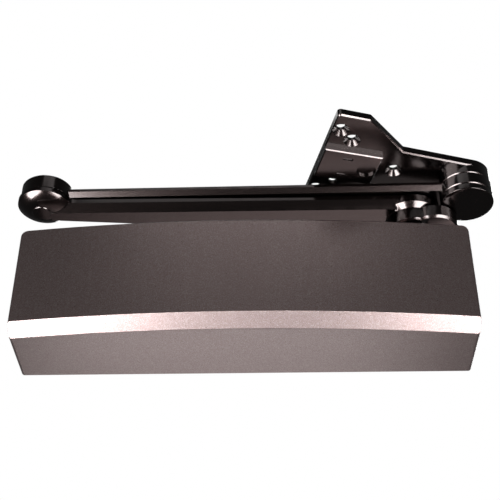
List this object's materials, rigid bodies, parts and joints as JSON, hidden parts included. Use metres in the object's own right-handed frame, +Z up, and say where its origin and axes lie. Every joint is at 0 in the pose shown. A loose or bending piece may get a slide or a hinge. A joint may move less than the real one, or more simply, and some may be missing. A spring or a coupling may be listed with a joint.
{
  "type": "door closer",
  "caption": "Surface-mounted hydraulic door closer with a bowed metallic cover, folded double arm and a soffit shoe for a parallel-arm mounting.",
  "frame": {"origin": "centre of the four casting holes, on the door's face", "axes": "+X along the closer, +Z up, +Y into the door, -Y towards the room"},
  "size_m": [0.3564, 0.1293, 0.139],
  "materials": {
    "cover_paint": "satin metallic dark bronze, fine aluminium fleck",
    "arm_paint": "gloss dark bronze enamel",
    "cast_iron": "painted casting",
    "steel": "machined",
    "dark_steel": "black oxide",
    "spring_steel": "oil tempered",
    "bronze": "sintered bronze",
    "rubber": "matt"
  },
  "bodies": {
    "body": {"cover_shell": "cover_paint", "closer_casting": "cast_iron", "cover_clips": "spring_steel", "clip_screws": "steel", "end_plug": "steel", "end_plug_o_ring": "rubber", "outer_spring": "spring_steel", "inner_spring": "spring_steel", "pinion_bearing_top": "bronze", "pinion_bearing_bottom": "bronze", "pinion_seal_top": "rubber", "pinion_seal_bottom": "rubber", "bearing_cap_top": "dark_steel", "bearing_cap_bottom": "dark_steel"},
    "piston": {"rack_piston": "steel", "piston_seal": "rubber", "check_ball": "steel", "check_ball_retainer": "bronze"},
    "adjuster": {"power_adjusting_screw": "steel"},
    "spring_seat": {"spring_seat": "steel"},
    "sweep_valve": {"sweep_valve": "steel", "sweep_valve_o_ring": "rubber"},
    "latch_valve": {"latch_valve": "steel", "latch_valve_o_ring": "rubber"},
    "backcheck_valve": {"backcheck_valve": "steel", "backcheck_valve_o_ring": "rubber"},
    "main_arm": {"pinion_shaft": "steel", "main_arm": "arm_paint", "arm_washer": "dark_steel", "arm_screw": "dark_steel", "elbow_rivet": "arm_paint", "elbow_washer": "dark_steel"},
    "forearm": {"forearm": "arm_paint", "elbow_bush": "bronze", "shoe_bush": "bronze"},
    "shoe": {"arm_shoe": "arm_paint", "shoe_pivot_stud": "arm_paint"}
  },
  "joints": [
    {"name": "arm_swing", "type": "hinge", "parent": "body", "child": "main_arm", "pos_m": [0.126, -0.036, 0], "axis": [0, 0, 1], "range_deg": [0, 140]},
    {"name": "piston_slide", "type": "slide", "parent": "body", "child": "piston", "axis": [-1, 0, 0], "range_m": [0, 0.0147], "deforming": ["outer_spring", "inner_spring"]},
    {"name": "elbow_swing", "type": "hinge", "parent": "main_arm", "child": "forearm", "pos_m": [-0.1527, -0.0515, 0.076], "axis": [0, 0, 1], "range_deg": [-170, 0]},
    {"name": "shoe_swing", "type": "hinge", "parent": "forearm", "child": "shoe", "pos_m": [0.166, -0.0545, 0.082], "axis": [0, 0, 1], "range_deg": [-150, 150]},
    {"name": "power_adjust", "type": "hinge", "parent": "body", "child": "adjuster", "pos_m": [-0.142, -0.036, 0], "axis": [1, 0, 0], "range_deg": [0, 1800]},
    {"name": "seat_slide", "type": "slide", "parent": "body", "child": "spring_seat", "axis": [1, 0, 0], "range_m": [0, 0.0063]},
    {"name": "sweep_turn", "type": "hinge", "parent": "body", "child": "sweep_valve", "pos_m": [0.04, -0.0596, 0], "axis": [0, -1, 0], "range_deg": [0, 360]},
    {"name": "latch_turn", "type": "hinge", "parent": "body", "child": "latch_valve", "pos_m": [0.06, -0.0596, 0], "axis": [0, -1, 0], "range_deg": [0, 360]},
    {"name": "backcheck_turn", "type": "hinge", "parent": "body", "child": "backcheck_valve", "pos_m": [0.08, -0.0596, 0], "axis": [0, -1, 0], "range_deg": [0, 360]}
  ],
  "couplings": [
    {"joint": "piston_slide", "follows": "arm_swing", "m_per_rad": 0.006},
    {"joint": "seat_slide", "follows": "power_adjust", "m_per_rad": 0.00019894}
  ]
}
